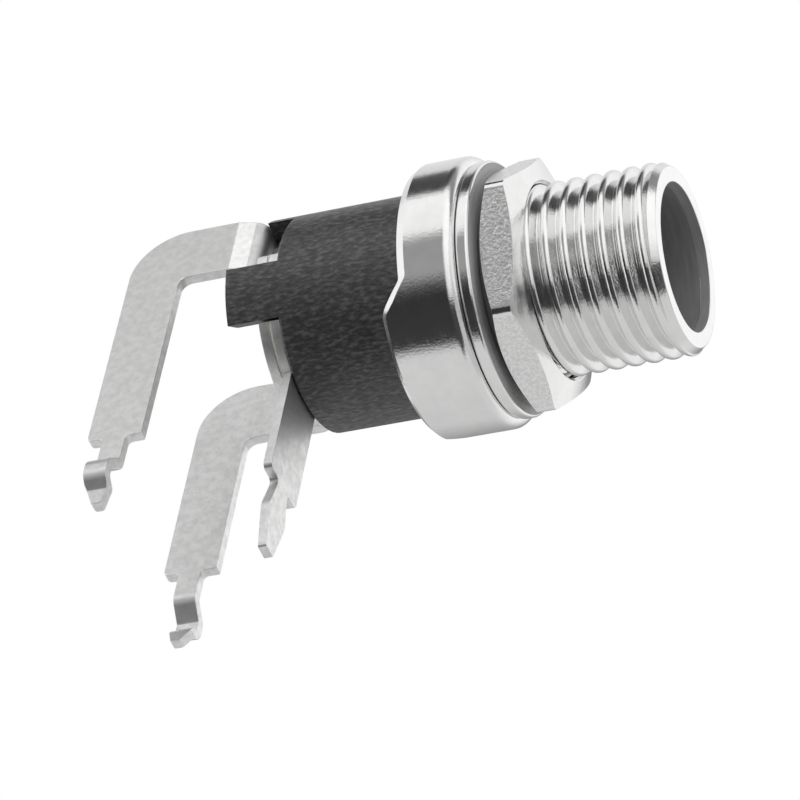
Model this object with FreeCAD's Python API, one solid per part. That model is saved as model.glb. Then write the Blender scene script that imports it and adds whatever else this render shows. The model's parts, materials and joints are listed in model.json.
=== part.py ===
import FreeCAD, Part
import math
import os

# A dc power jack with a threaded bushing, three sheet terminals and snap-in pins.
# The frame: +X runs out of the socket along its axis, +Z is up, the legs hang down.
# The origin is the centre of the socket mouth. All sizes are millimetres.

# Threaded bushing and its drum
plug_bore_radius = 2.97
tube_wall = 1.0
thread_length = 7.9
thread_chamfer = 0.28
mouth_chamfer = 0.14
flange_thickness = 0.6
drum_length = 3.3
drum_wall = 1.06
drum_front_round = 0.45
rear_rim_bevel = 0.2

# The step in the drum's rear rim: the rim is shorter above the step, and a slope joins the two
step_length = 0.9
step_height = -3.3
step_slope = 0.75
step_crook_round = 0.25
step_crest_round = 0.5
step_tail = 0.4
step_bevel = 0.3

# Washer and nut
washer_width = 1.25
washer_thickness = 0.54
washer_edge_bevel = 0.15
nut_wall = 0.7625
nut_length = 1.94
nut_corner_angle = 178.0
nut_front_land = 0.02
nut_rear_land = 0.02
nut_front_corner_drop = 0.55
nut_rear_corner_drop = 0.68
nut_hole_chamfer = 0.13

# Moulded body, its socket and its spring slot
body_radius = 4.55
body_tail_length = 4.76
body_edge_bevel = 0.12
body_front_bevel = 0.2
plug_depth = 10.6
slot_inner = 2.05
slot_wall = 0.5
slot_half_width = 1.3
slot_set_back = 0.37
window_margin = 0.1

# Moulded keys behind the body that hold the terminals
key_thickness = 1.05
key_length = 2.19
key_root = 0.5
lower_key_top = -0.85
lower_key_angle = 222.2
upper_key_bottom = 2.2
upper_key_angle = 118.0
far_key_bottom = 1.5
far_key_angle = 62.0

# Centre pin
pin_radius = 1.0
pin_set_back = 2.4
pin_nose_round = 0.55
pin_collar_width = 0.7
pin_collar_length = 0.6
pin_collar_bevel = 0.12
pin_shank_radius = 1.2
pin_shank_stop = 0.2
pin_tail_radius = 0.82
rivet_head_width = 0.73
rivet_head_length = 0.5
rivet_head_round = 0.38

# Rear stack of discs and sheets
disc_inset = 0.15
disc_near_cut = -3.0
disc_near_cut_bottom = -0.3
disc_far_cut_top = -2.4
middle_sheet = 0.38
side_sheet = 0.46
foil_inset = 0.17
foil_thickness = 0.06
bush_wall = 0.73
bush_shoulder_width = 1.05
bush_shoulder_thickness = 0.12
near_plate_half_width = 1.95
near_plate_top = 0.6
near_plate_slope_end = 1.2
near_plate_neck = 2.2
near_plate_round = 1.2
near_plate_far_round = 1.9
near_plate_neck_round = 0.4

# Arms and legs of the side terminals
arm_length = 2.93
leg_width = 2.38
leg_corner_round = 2.4
leg_inner_round = 0.45
shoulder_level = -9.45
shoulder_round = 0.25
shoulder_front_round = 0.08
near_arm_top = 2.4
near_arm_bottom = -0.45
near_arm_inset = 0.35
near_facet_length = 1.04
near_facet_offset = 0.27
far_arm_top = 1.15
far_arm_bottom = -2.0
far_arm_inset = 0.4
fold_radius = 0.45
fold_root = 0.17

# Kinked snap-in pins of the side terminals
tab_half_width = 0.5
tab_root_round = 0.2
tab_root_length = 0.6
tab_straight = 1.4
kink_slope = 0.7
kink_length = 0.55
kink_return = 0.4
kink_offset = 0.76
kink_rest = 0.3
kink_bend_radius = 0.35
pin_tail = 0.72
tip_taper = 0.77
tip_taper_round = 0.3
tip_half_width = 0.2
tip_round = 0.15
tip_cut = 0.2

# Strip of the middle terminal, ending in a flat leaf shaped pin
strip_half_width = 1.32
strip_root_inset = 0.5
leaf_neck_length = 0.3
leaf_spread_length = 1.3
leaf_close_length = 1.93
leaf_half_width = 0.82
leaf_end_half_width = 0.36
leaf_neck_round = 0.5
leaf_crest_round = 1.0
leaf_end_round = 0.1

# Sleeve spring, and the shunt tongue that it rests against
plug_radius = 2.75
spring_sheet = 0.2
spring_half_width = 1.1
spring_stand_off = 0.33
spring_bite = 0.28
spring_set_back = 1.27
spring_slope_length = 3.7
spring_tip_length = 0.65
spring_tip_lift = 0.5
spring_foot_length = 0.65
spring_bend_radius = 0.25
tongue_root = 0.2
tongue_half_width = 0.8
tongue_length = 3.07
tongue_tip_length = 0.9
tongue_tip_lift = 0.2
tongue_bend_radius = 0.35

# Named clearances
running_gap = 0.03
washer_gap = 0.08
press_gap = 0.02
stack_gap = 0.01
key_gap = 0.08
hole_gap = 0.1
foot_gap = 0.02
contact_gap = 0.07

# Radii that follow from the ones above
thread_radius = plug_bore_radius + tube_wall
seat_radius = body_radius + press_gap
drum_radius = seat_radius + drum_wall
washer_bore_radius = thread_radius + washer_gap
washer_radius = washer_bore_radius + washer_width
nut_bore_radius = thread_radius + running_gap
nut_half_flats = nut_bore_radius + nut_wall
nut_corner_radius = nut_half_flats / math.cos(math.pi / 6)
nut_hole_edge = nut_bore_radius + nut_hole_chamfer
socket_radius = plug_bore_radius + running_gap
shank_hole_radius = pin_shank_radius + press_gap
pin_collar_radius = pin_radius + pin_collar_width
rivet_head_radius = pin_tail_radius + rivet_head_width
bush_bore_radius = pin_tail_radius + press_gap
bush_radius = pin_tail_radius + bush_wall
bush_shoulder_radius = bush_radius + bush_shoulder_width
disc_radius = body_radius - disc_inset
foil_radius = body_radius - foil_inset
key_inner_radius = body_radius - key_thickness
slot_outer = body_radius - slot_wall
window_inner = slot_inner - window_margin
beyond = drum_radius + 2

# Places along the axis, from the mouth to the rear
flange_front = -thread_length
drum_rear = flange_front - drum_length
step_rear = drum_rear + step_length
seat_front = flange_front - flange_thickness
washer_rear = flange_front + 2 * stack_gap
washer_front = washer_rear + washer_thickness
nut_rear = washer_front + 2 * stack_gap
nut_front = nut_rear + nut_length
body_front = seat_front - running_gap
body_rear = drum_rear - body_tail_length
slot_front = body_front - slot_set_back
socket_floor = -plug_depth
pin_tip = -pin_set_back
collar_rear = socket_floor + stack_gap
collar_front = socket_floor + pin_collar_length
shank_rear = body_rear + pin_shank_stop
middle_front = body_rear - stack_gap
middle_rear = middle_front - middle_sheet
foil_front = middle_rear - stack_gap
foil_rear = foil_front - foil_thickness
far_front = foil_rear - stack_gap
far_rear = far_front - side_sheet
bush_front = far_rear - stack_gap
bush_rear = bush_front - bush_shoulder_thickness
near_front = bush_rear - stack_gap
near_rear = near_front - side_sheet
head_front = near_rear - stack_gap
head_rear = head_front - rivet_head_length
lower_key_rear = body_rear - key_length
upper_key_rear = near_front + stack_gap
leg_front = near_rear - arm_length
leg_rear = leg_front - leg_width
leg_middle = (leg_rear + leg_front) / 2
arm_joint = leg_front + 2 * leg_inner_round

# Middle lines of the sheets, along the axis and across from it
middle_level = (middle_front + middle_rear) / 2
far_level = (far_front + far_rear) / 2
near_level = (near_front + near_rear) / 2
facet_rear = near_level - near_facet_length
near_line = -(body_radius - near_arm_inset - side_sheet / 2)
far_line = body_radius - far_arm_inset - side_sheet / 2
spring_line = plug_bore_radius + spring_stand_off
spring_bump = plug_radius - spring_bite
bump_x = body_front - spring_set_back
spring_bend_x = bump_x - spring_slope_length
tongue_tip_x = middle_front + tongue_length + tongue_tip_length
spring_rise = (spring_line - spring_bump) / spring_slope_length
spring_over_tip = spring_bump + (bump_x - tongue_tip_x) * spring_rise
tongue_tip_line = spring_over_tip - spring_sheet / 2 - middle_sheet / 2 - contact_gap
tongue_line = tongue_tip_line - tongue_tip_lift


def point(plane, level, a, b):
    """A point of a drawing plane: xy, xz or yz, at its level."""
    if plane == "xy":
        return FreeCAD.Vector(a, b, level)
    if plane == "xz":
        return FreeCAD.Vector(a, level, b)
    return FreeCAD.Vector(level, a, b)


def corner_stretch(before, corner, after):
    """The points of one corner: itself, both ends of a bevel, or the three points of a round."""
    a, b, size = corner[:3]
    back = math.hypot(before[0] - a, before[1] - b)
    ahead = math.hypot(after[0] - a, after[1] - b)
    ba, bb = (before[0] - a) / back, (before[1] - b) / back
    fa, fb = (after[0] - a) / ahead, (after[1] - b) / ahead
    half = math.acos(max(-1.0, min(1.0, ba * fa + bb * fb))) / 2
    if size == 0 or half > 1.56:
        return [(a, b)]
    if corner[-1] == "bevel":
        return [(a + ba * size, b + bb * size), (a + fa * size, b + fb * size)]
    reach = size / math.tan(half)
    middle = math.hypot(ba + fa, bb + fb)
    depth = size / math.sin(half) - size
    crown = (a + (ba + fa) / middle * depth, b + (bb + fb) / middle * depth)
    return [(a + ba * reach, b + bb * reach), crown, (a + fa * reach, b + fb * reach)]


def outline(plane, level, corners):
    """A flat face from corners (a, b, size), each rounded by its size, or cut where "bevel" follows."""
    count = len(corners)
    stretches = []
    for i in range(count):
        stretches.append(corner_stretch(corners[i - 1], corners[i], corners[(i + 1) % count]))
    edges = []
    for i in range(count):
        here = [point(plane, level, *p) for p in stretches[i]]
        following = point(plane, level, *stretches[(i + 1) % count][0])
        if len(here) == 3:
            edges.append(Part.Arc(here[0], here[1], here[2]).toShape())
        if len(here) == 2:
            edges.append(Part.LineSegment(here[0], here[1]).toShape())
        if here[-1].distanceToPoint(following) > 1e-6:
            edges.append(Part.LineSegment(here[-1], following).toShape())
    return Part.Face(Part.Wire(edges))


def plate(plane, start, end, corners):
    """A flat plate: the outline at the start level pushed out to the end level."""
    face = outline(plane, start, corners)
    return face.extrude(point(plane, end - start, 0, 0))


def turned(corners):
    """A turned piece: the outline of x and radius turned round the socket axis."""
    face = outline("xy", 0, corners)
    return face.revolve(FreeCAD.Vector(0, 0, 0), FreeCAD.Vector(1, 0, 0), 360)


def rod(rear, front, radius):
    """A round rod along the socket axis."""
    return Part.makeCylinder(radius, front - rear, FreeCAD.Vector(rear, 0, 0), FreeCAD.Vector(1, 0, 0))


def block(x1, x2, y1, y2, z1, z2):
    """A box between two corners."""
    return Part.makeBox(x2 - x1, y2 - y1, z2 - z1, FreeCAD.Vector(x1, y1, z1))


def bent_strip(path, bend_radius, thickness):
    """Corners of a sheet strip seen edge on, bent along a path of its middle line."""
    half = thickness / 2
    left = []
    right = []
    for i in range(len(path)):
        a, b = path[i]
        before = path[max(i - 1, 0)]
        after = path[min(i + 1, len(path) - 1)]
        first = (a - before[0], b - before[1]) if i > 0 else (after[0] - a, after[1] - b)
        second = (after[0] - a, after[1] - b) if i < len(path) - 1 else first
        first = (first[0] / math.hypot(*first), first[1] / math.hypot(*first))
        second = (second[0] / math.hypot(*second), second[1] / math.hypot(*second))
        spread = 1 + first[0] * second[0] + first[1] * second[1]
        ma = -(first[1] + second[1]) / spread * half
        mb = (first[0] + second[0]) / spread * half
        turn = first[0] * second[1] - first[1] * second[0]
        inner = bend_radius - half
        outer = bend_radius + half
        if abs(turn) < 1e-6:
            inner = 0
            outer = 0
        left.append((a + ma, b + mb, inner if turn > 0 else outer))
        right.append((a - ma, b - mb, outer if turn > 0 else inner))
    return left + right[::-1]


def ray(angle, radius):
    """A point in y and z at an angle round the socket axis."""
    return (radius * math.cos(math.radians(angle)), radius * math.sin(math.radians(angle)))


def key(rear, inner, side, level, angle):
    """A moulded key: the ring behind the body between a level and a ray from the axis."""
    front = body_rear + key_root
    ring = rod(rear, front, body_radius).cut(rod(rear, front, inner))
    crossing = level / math.tan(math.radians(angle))
    wedge = [(crossing, level, 0), (side * beyond, level, 0), ray(angle, 2 * beyond) + (0,)]
    return ring.common(plate("yz", rear, front, wedge))


def keys(gap):
    """The three moulded keys, grown by a gap where they cut the discs."""
    inner = key_inner_radius - gap
    turn = math.degrees(gap / body_radius)
    lower = key(lower_key_rear, inner, -1, lower_key_top + gap, lower_key_angle + turn)
    upper = key(upper_key_rear, inner, -1, upper_key_bottom - gap, upper_key_angle - turn)
    far = key(lower_key_rear, inner, 1, far_key_bottom - gap, far_key_angle + turn)
    return lower.fuse([upper, far])


def rear_disc(front, rear, radius, hole_radius):
    """A flat disc of the rear stack with its hole, the notches for the keys and two trimmed sides."""
    disc = rod(rear, front, radius).cut(rod(rear, front, hole_radius))
    disc = disc.cut(keys(key_gap))
    disc = disc.cut(block(rear, front, -beyond, disc_near_cut, disc_near_cut_bottom, beyond))
    return disc.cut(block(rear, front, strip_half_width, beyond, -beyond, disc_far_cut_top))


def snap_pin():
    """A kinked snap-in pin under a shoulder at z = 0, its kink toward +Y, its width along X."""
    crest = -tab_straight - kink_slope
    crest_end = crest - kink_length
    bottom = crest_end - kink_return - pin_tail
    path = [
        (0, tab_root_length),
        (0, -tab_straight),
        (kink_offset, crest),
        (kink_offset, crest_end),
        (kink_rest, crest_end - kink_return),
        (0, bottom - tip_cut),
    ]
    side = plate("yz", -tab_half_width, tab_half_width, bent_strip(path, kink_bend_radius, side_sheet))
    front = [
        (-tab_half_width, tab_root_length, 0),
        (tab_half_width, tab_root_length, 0),
        (tab_half_width, bottom + tip_taper, tip_taper_round),
        (tip_half_width, bottom, tip_round),
        (-tip_half_width, bottom, tip_round),
        (-tab_half_width, bottom + tip_taper, tip_taper_round),
    ]
    return side.common(plate("xz", -beyond, beyond, front))


def placed(shape, x, y, z, turn):
    """A copy of a shape, turned about the vertical and moved into place."""
    copy = shape.copy()
    copy.rotate(FreeCAD.Vector(0, 0, 0), FreeCAD.Vector(0, 0, 1), turn)
    copy.translate(FreeCAD.Vector(x, y, z))
    return copy


def side_leg(line, top, bottom, turn):
    """Flat arm and L shaped leg of a side terminal on its middle line, with its pin below."""
    tab_rear = leg_middle - tab_half_width
    tab_front = leg_middle + tab_half_width
    tab_end = shoulder_level - tab_root_length
    corners = [
        (arm_joint, top, 0),
        (leg_rear, top, leg_corner_round),
        (leg_rear, shoulder_level, shoulder_round),
        (tab_rear, shoulder_level, tab_root_round),
        (tab_rear, tab_end, 0),
        (tab_front, tab_end, 0),
        (tab_front, shoulder_level, tab_root_round),
        (leg_front, shoulder_level, shoulder_front_round),
        (leg_front, bottom, leg_inner_round),
        (arm_joint, bottom, 0),
    ]
    flat = plate("xz", line - side_sheet / 2, line + side_sheet / 2, corners)
    return flat.fuse(placed(snap_pin(), leg_middle, line, shoulder_level, turn))


def window():
    """The opening through which the sleeve spring and the shunt tongue pass."""
    return block(foil_rear, middle_front, window_inner, beyond, -slot_half_width, slot_half_width)


def make_threaded_bushing():
    """Threaded tube, flange and drum in one, with a stepped rear rim."""
    shell = turned([
        (0, 0, 0),
        (0, thread_radius, thread_chamfer, "bevel"),
        (flange_front, thread_radius, 0),
        (flange_front, drum_radius, drum_front_round),
        (drum_rear, drum_radius, 0),
        (drum_rear, 0, 0),
    ])
    slope_end = step_height - step_slope
    shell = shell.cut(plate("xz", -beyond, beyond, [
        (step_rear, beyond, 0),
        (step_rear, step_height, step_crook_round),
        (step_rear - step_slope, slope_end, step_crest_round),
        (drum_rear - step_tail, slope_end - step_slope, 0),
        (drum_rear - step_tail, beyond, 0),
    ]))
    rim = []
    for edge in shell.Edges:
        radii = [math.hypot(p.y, p.z) for p in edge.discretize(7)]
        outside = max(abs(radius - drum_radius) for radius in radii) < 0.001
        end = edge.BoundBox.XMax
        if outside and drum_rear + 0.001 < end < step_rear + 0.001:
            rim.append(edge)
    shell = shell.makeChamfer(step_bevel, rim)
    shell = shell.cut(turned([
        (drum_rear - step_tail, drum_radius - rear_rim_bevel, 0),
        (drum_rear, drum_radius - rear_rim_bevel, 0),
        (drum_rear + rear_rim_bevel, drum_radius, 0),
        (drum_rear + rear_rim_bevel, beyond, 0),
        (drum_rear - step_tail, beyond, 0),
    ]))
    return shell.cut(turned([
        (0, 0, 0),
        (0, plug_bore_radius + mouth_chamfer, 0),
        (-mouth_chamfer, plug_bore_radius, 0),
        (seat_front, plug_bore_radius, 0),
        (seat_front, seat_radius, 0),
        (drum_rear, seat_radius, 0),
        (drum_rear, 0, 0),
    ]))


def make_flat_washer():
    """Thin washer with bevelled outer edges."""
    return turned([
        (washer_rear, washer_bore_radius, 0),
        (washer_front, washer_bore_radius, 0),
        (washer_front, washer_radius, washer_edge_bevel, "bevel"),
        (washer_rear, washer_radius, washer_edge_bevel, "bevel"),
    ])


def make_hex_nut():
    """Hex nut cut by a cone on either side, with a chamfered hole."""
    corners = [ray(nut_corner_angle + 60 * i, nut_corner_radius) + (0,) for i in range(6)]
    prism = plate("yz", nut_rear, nut_front, corners)
    cones = turned([
        (nut_rear, nut_hole_edge, 0),
        (nut_rear, nut_hole_edge + nut_rear_land, 0),
        (nut_rear + nut_rear_corner_drop, nut_corner_radius, 0),
        (nut_front - nut_front_corner_drop, nut_corner_radius, 0),
        (nut_front, nut_hole_edge + nut_front_land, 0),
        (nut_front, nut_hole_edge, 0),
        (nut_front - nut_hole_chamfer, nut_bore_radius, 0),
        (nut_rear + nut_hole_chamfer, nut_bore_radius, 0),
    ])
    return prism.common(cones)


def make_insulator_body():
    """Moulded body with the socket end, the spring slot, the pin hole and the rear keys."""
    body = turned([
        (body_front, socket_radius, 0),
        (body_front, body_radius, body_front_bevel, "bevel"),
        (body_rear, body_radius, body_edge_bevel, "bevel"),
        (body_rear, shank_hole_radius, 0),
        (socket_floor, shank_hole_radius, 0),
        (socket_floor, socket_radius, 0),
    ])
    slot = block(body_rear, slot_front, slot_inner, slot_outer, -slot_half_width, slot_half_width)
    return body.cut(slot).fuse(keys(0)).removeSplitter()


def make_centre_pin():
    """Contact pin, collar, shank and tail, with the tail set over as a rivet head."""
    return turned([
        (head_rear, 0, 0),
        (pin_tip, 0, 0),
        (pin_tip, pin_radius, pin_nose_round),
        (collar_front, pin_radius, 0),
        (collar_front, pin_collar_radius, pin_collar_bevel, "bevel"),
        (collar_rear, pin_collar_radius, 0),
        (collar_rear, pin_shank_radius, 0),
        (shank_rear, pin_shank_radius, 0),
        (shank_rear, pin_tail_radius, 0),
        (head_front, pin_tail_radius, 0),
        (head_front, rivet_head_radius, 0),
        (head_rear, rivet_head_radius, rivet_head_round),
    ])


def make_insulating_foil():
    """Thin insulating ring between the two discs."""
    return rear_disc(foil_front, foil_rear, foil_radius, bush_radius + press_gap).cut(window())


def make_insulating_bush():
    """Shouldered bush round the tail of the centre pin."""
    return turned([
        (bush_rear, bush_bore_radius, 0),
        (middle_front, bush_bore_radius, 0),
        (middle_front, bush_radius, 0),
        (bush_front, bush_radius, 0),
        (bush_front, bush_shoulder_radius, 0),
        (bush_rear, bush_shoulder_radius, 0),
    ])


def make_middle_terminal():
    """First disc of the stack: shunt tongue forward, strip and flat pin straight down."""
    disc = rear_disc(middle_front, middle_rear, disc_radius, bush_radius + hole_gap).cut(window())
    path = [
        (middle_level, window_inner - tongue_root),
        (middle_level, tongue_line),
        (tongue_tip_x - tongue_tip_length, tongue_line),
        (tongue_tip_x, tongue_tip_line),
    ]
    bent = bent_strip(path, tongue_bend_radius, middle_sheet)
    tongue = plate("xy", -tongue_half_width, tongue_half_width, bent)
    strip_root = strip_root_inset - disc_radius
    neck_end = shoulder_level - leaf_neck_length
    crest = neck_end - leaf_spread_length
    leaf_end = crest - leaf_close_length
    strip = plate("yz", middle_rear, middle_front, [
        (-strip_half_width, strip_root, 0),
        (-strip_half_width, shoulder_level, shoulder_round),
        (-tab_half_width, shoulder_level, tab_root_round),
        (-tab_half_width, neck_end, leaf_neck_round),
        (-leaf_half_width, crest, leaf_crest_round),
        (-leaf_end_half_width, leaf_end, leaf_end_round),
        (leaf_end_half_width, leaf_end, leaf_end_round),
        (leaf_half_width, crest, leaf_crest_round),
        (tab_half_width, neck_end, leaf_neck_round),
        (tab_half_width, shoulder_level, tab_root_round),
        (strip_half_width, shoulder_level, shoulder_round),
        (strip_half_width, strip_root, 0),
    ])
    return disc.fuse([tongue, strip]).removeSplitter()


def make_far_terminal():
    """Second disc of the stack: its far side bent back into an arm, a leg and a pin."""
    fold = far_line - fold_radius - fold_root
    disc = rear_disc(far_front, far_rear, disc_radius, bush_radius + hole_gap)
    disc = disc.cut(block(far_rear, far_front, fold, beyond, -beyond, beyond))
    path = [
        (far_level, fold - fold_root),
        (far_level, far_line),
        (leg_front + leg_inner_round, far_line),
    ]
    strip = plate("xy", far_arm_bottom, far_arm_top, bent_strip(path, fold_radius, side_sheet))
    leg = side_leg(far_line, far_arm_top, far_arm_bottom, 0)
    return disc.fuse([strip, leg]).removeSplitter()


def make_near_terminal():
    """Rear plate under the rivet head, bent back into an arm, a leg and a pin."""
    facet_start = near_line + near_facet_offset
    fold = facet_start + fold_radius + fold_root
    base = plate("yz", near_rear, near_front, [
        (fold, near_arm_top, 0),
        (-near_plate_top, near_arm_top, near_plate_round),
        (near_plate_half_width, near_plate_slope_end, near_plate_round),
        (near_plate_half_width, -near_plate_half_width, near_plate_far_round),
        (-near_plate_half_width, -near_plate_half_width, near_plate_round),
        (-near_plate_neck, near_arm_bottom, near_plate_neck_round),
        (fold, near_arm_bottom, 0),
    ])
    path = [
        (near_level, fold + fold_root),
        (near_level, facet_start),
        (facet_rear, near_line),
        (leg_front + leg_inner_round, near_line),
    ]
    strip = plate("xy", near_arm_bottom, near_arm_top, bent_strip(path, fold_radius, side_sheet))
    leg = side_leg(near_line, near_arm_top, near_arm_bottom, 180)
    hole = rod(near_rear, near_front, bush_bore_radius)
    return base.fuse([strip, leg]).cut(hole).removeSplitter()


def make_sleeve_spring():
    """Leaf with a foot behind the body and a rounded bump where the plug slides."""
    foot = middle_rear + foot_gap + spring_sheet / 2
    path = [
        (foot, spring_line + spring_foot_length),
        (foot, spring_line),
        (spring_bend_x, spring_line),
        (bump_x, spring_bump),
        (bump_x + spring_tip_length, spring_bump + spring_tip_lift),
    ]
    bent = bent_strip(path, spring_bend_radius, spring_sheet)
    return plate("xy", -spring_half_width, spring_half_width, bent)


pieces = {
    "threaded_bushing": make_threaded_bushing,
    "flat_washer": make_flat_washer,
    "hex_nut": make_hex_nut,
    "insulator_body": make_insulator_body,
    "centre_pin": make_centre_pin,
    "sleeve_spring": make_sleeve_spring,
    "middle_terminal": make_middle_terminal,
    "insulating_foil": make_insulating_foil,
    "far_terminal": make_far_terminal,
    "insulating_bush": make_insulating_bush,
    "near_terminal": make_near_terminal,
}

os.makedirs("parts", exist_ok=True)
for name, make in pieces.items():
    shape = make()
    solids = shape.Solids
    print(name, "solids", len(solids), "valid", shape.isValid(), "volume", round(shape.Volume, 3))
    if len(solids) == 1:
        shape = solids[0]
    shape.exportStep("parts/" + name + ".step")
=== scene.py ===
import json
import math

import bpy
from mathutils import Matrix, Vector

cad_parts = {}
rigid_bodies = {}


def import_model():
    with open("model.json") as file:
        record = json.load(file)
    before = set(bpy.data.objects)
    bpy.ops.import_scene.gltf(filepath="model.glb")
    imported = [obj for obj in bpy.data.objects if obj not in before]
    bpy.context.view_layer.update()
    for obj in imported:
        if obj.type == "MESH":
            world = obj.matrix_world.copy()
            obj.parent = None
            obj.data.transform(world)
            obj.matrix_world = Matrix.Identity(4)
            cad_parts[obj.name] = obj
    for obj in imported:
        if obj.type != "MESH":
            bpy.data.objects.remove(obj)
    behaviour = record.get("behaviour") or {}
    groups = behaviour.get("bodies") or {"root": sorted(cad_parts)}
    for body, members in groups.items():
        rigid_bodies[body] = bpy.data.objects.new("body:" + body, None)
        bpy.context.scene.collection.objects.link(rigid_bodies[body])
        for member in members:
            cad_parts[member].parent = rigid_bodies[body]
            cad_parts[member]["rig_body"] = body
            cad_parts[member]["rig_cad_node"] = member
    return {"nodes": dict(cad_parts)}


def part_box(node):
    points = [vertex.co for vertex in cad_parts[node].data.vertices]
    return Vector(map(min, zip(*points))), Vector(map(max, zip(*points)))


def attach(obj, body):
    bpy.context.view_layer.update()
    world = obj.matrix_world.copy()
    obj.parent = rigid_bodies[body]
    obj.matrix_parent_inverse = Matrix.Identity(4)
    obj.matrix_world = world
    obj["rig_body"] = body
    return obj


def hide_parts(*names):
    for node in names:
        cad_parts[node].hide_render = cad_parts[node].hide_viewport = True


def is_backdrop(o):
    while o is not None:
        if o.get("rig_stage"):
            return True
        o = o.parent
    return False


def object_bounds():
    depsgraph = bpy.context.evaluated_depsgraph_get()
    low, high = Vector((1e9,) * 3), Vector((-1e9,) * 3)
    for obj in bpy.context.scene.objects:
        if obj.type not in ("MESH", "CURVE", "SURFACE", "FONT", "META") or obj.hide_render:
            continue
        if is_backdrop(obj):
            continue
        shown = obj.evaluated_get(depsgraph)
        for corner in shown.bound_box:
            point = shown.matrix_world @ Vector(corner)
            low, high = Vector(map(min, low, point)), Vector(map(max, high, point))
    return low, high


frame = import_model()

bl_info = {
    "name": "DC power jack",
    "version": (1, 0, 0),
    "blender": (4, 5, 0),
    "location": "View3D > Sidebar > Power jack",
    "description": "Builds the looks of a threaded dc power jack around its fixed frame",
    "category": "Object",
}

CAD_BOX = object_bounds()

# Pieces are modelled in millimetres and brought to metres when they are finished.
MM = 0.001
# Vertices nearer to each other than this are merged, in millimetres.
MERGE = 0.0005


class JackThread(bpy.types.PropertyGroup):
    """Sizes of the threaded tube, in millimetres."""

    pitch: bpy.props.FloatProperty(
        name="Pitch", description="Length of one turn of the thread", default=0.79375)
    crest_radius: bpy.props.FloatProperty(
        name="Crest radius", description="Radius over the thread's crests", default=3.97)
    crest_round: bpy.props.FloatProperty(
        name="Crest round", description="Radius of each rounded crest", default=0.2)
    root_round: bpy.props.FloatProperty(
        name="Root round", description="Radius at the bottom of the groove", default=0.05)
    crest_start: bpy.props.FloatProperty(
        name="Crest start", description="Place of a crest on the level line at the left side",
        default=-1.0954)
    collar_length: bpy.props.FloatProperty(
        name="Collar length", description="Plain length between the mouth and the thread",
        default=0.34)
    bore_radius: bpy.props.FloatProperty(
        name="Bore radius", description="Radius of the bore for the plug", default=2.97)
    front_slope: bpy.props.FloatProperty(
        name="Front slope", description="Drop of the collar's slanted front edge", default=0.28)
    mouth_length: bpy.props.FloatProperty(
        name="Mouth length", description="Length of the widened mouth of the bore", default=0.4)
    mouth_widening: bpy.props.FloatProperty(
        name="Mouth widening", description="How much the mouth's radius exceeds the bore's",
        default=0.1)


class JackDrum(bpy.types.PropertyGroup):
    """Sizes of the drum behind the thread, in millimetres."""

    front: bpy.props.FloatProperty(
        name="Front", description="Place of the drum's front face", default=-7.9)
    rear: bpy.props.FloatProperty(
        name="Rear", description="Place of the drum's rear rim", default=-11.2)
    radius: bpy.props.FloatProperty(
        name="Radius", description="Outer radius of the drum", default=5.63)
    seat_radius: bpy.props.FloatProperty(
        name="Seat radius", description="Inner radius where the body sits", default=4.57)
    seat_front: bpy.props.FloatProperty(
        name="Seat front", description="Where the seat for the body starts", default=-8.5)
    front_round: bpy.props.FloatProperty(
        name="Front round", description="Round of the front edge", default=0.45)
    step_rear: bpy.props.FloatProperty(
        name="Step", description="Place of the shorter part of the rear rim", default=-10.3)
    step_height: bpy.props.FloatProperty(
        name="Step height", description="Level below which the rim is longer", default=-3.3)
    step_slope: bpy.props.FloatProperty(
        name="Step slope", description="Length and drop of the slope between both parts",
        default=0.75)
    rim_bevel: bpy.props.FloatProperty(
        name="Rim bevel", description="Length of the flat bevel along the shorter rim",
        default=0.36)
    slope_bevel: bpy.props.FloatProperty(
        name="Slope bevel", description="Length of the flat bevel along the slope", default=0.45)
    long_bevel: bpy.props.FloatProperty(
        name="Long rim bevel", description="Length of the flat bevel along the longer rim",
        default=0.2)
    bevel_drop: bpy.props.FloatProperty(
        name="Bevel drop", description="Depth of the flat bevel along the rear rim", default=0.2)
    crook_round: bpy.props.FloatProperty(
        name="Crook round", description="Round between the shorter rim and the slope", default=0.25)
    slope_round: bpy.props.FloatProperty(
        name="Slope round", description="Round between the slope and the longer rim", default=0.5)
    spare: bpy.props.FloatProperty(
        name="Spare", description="How far behind its place the rim stands before it is drawn on",
        default=0.3)


class JackNut(bpy.types.PropertyGroup):
    """Sizes of nut and washer, in millimetres."""

    corner_radius: bpy.props.FloatProperty(
        name="Corner radius", description="Radius over the nut's corners", default=5.4993)
    corner_angle: bpy.props.FloatProperty(
        name="Corner angle", description="Angle of the first corner round the socket axis",
        subtype="ANGLE", default=math.radians(178.0))
    bore_radius: bpy.props.FloatProperty(
        name="Hole radius", description="Radius of the nut's hole", default=4.0)
    edge_round: bpy.props.FloatProperty(
        name="Edge round", description="Width of the rounds along the nut's six edges",
        default=0.28)
    hole_chamfer: bpy.props.FloatProperty(
        name="Hole chamfer", description="Chamfer at both ends of the nut's hole", default=0.13)
    land: bpy.props.FloatProperty(
        name="Land", description="Width of the flat ring between the chamfer and the cone",
        default=0.02)
    front_drop: bpy.props.FloatProperty(
        name="Front drop", description="How far the front cone falls back at the corners",
        default=0.55)
    rear_drop: bpy.props.FloatProperty(
        name="Rear drop", description="How far the rear cone falls back at the corners",
        default=0.68)
    washer_bore_radius: bpy.props.FloatProperty(
        name="Washer hole radius", description="Radius of the washer's hole", default=4.05)
    washer_bore_round: bpy.props.FloatProperty(
        name="Washer hole round", description="Round of the edges of the washer's hole",
        default=0.06)
    washer_rim_round: bpy.props.FloatProperty(
        name="Washer rim round", description="Round of the washer's outer edges", default=0.14)


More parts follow.
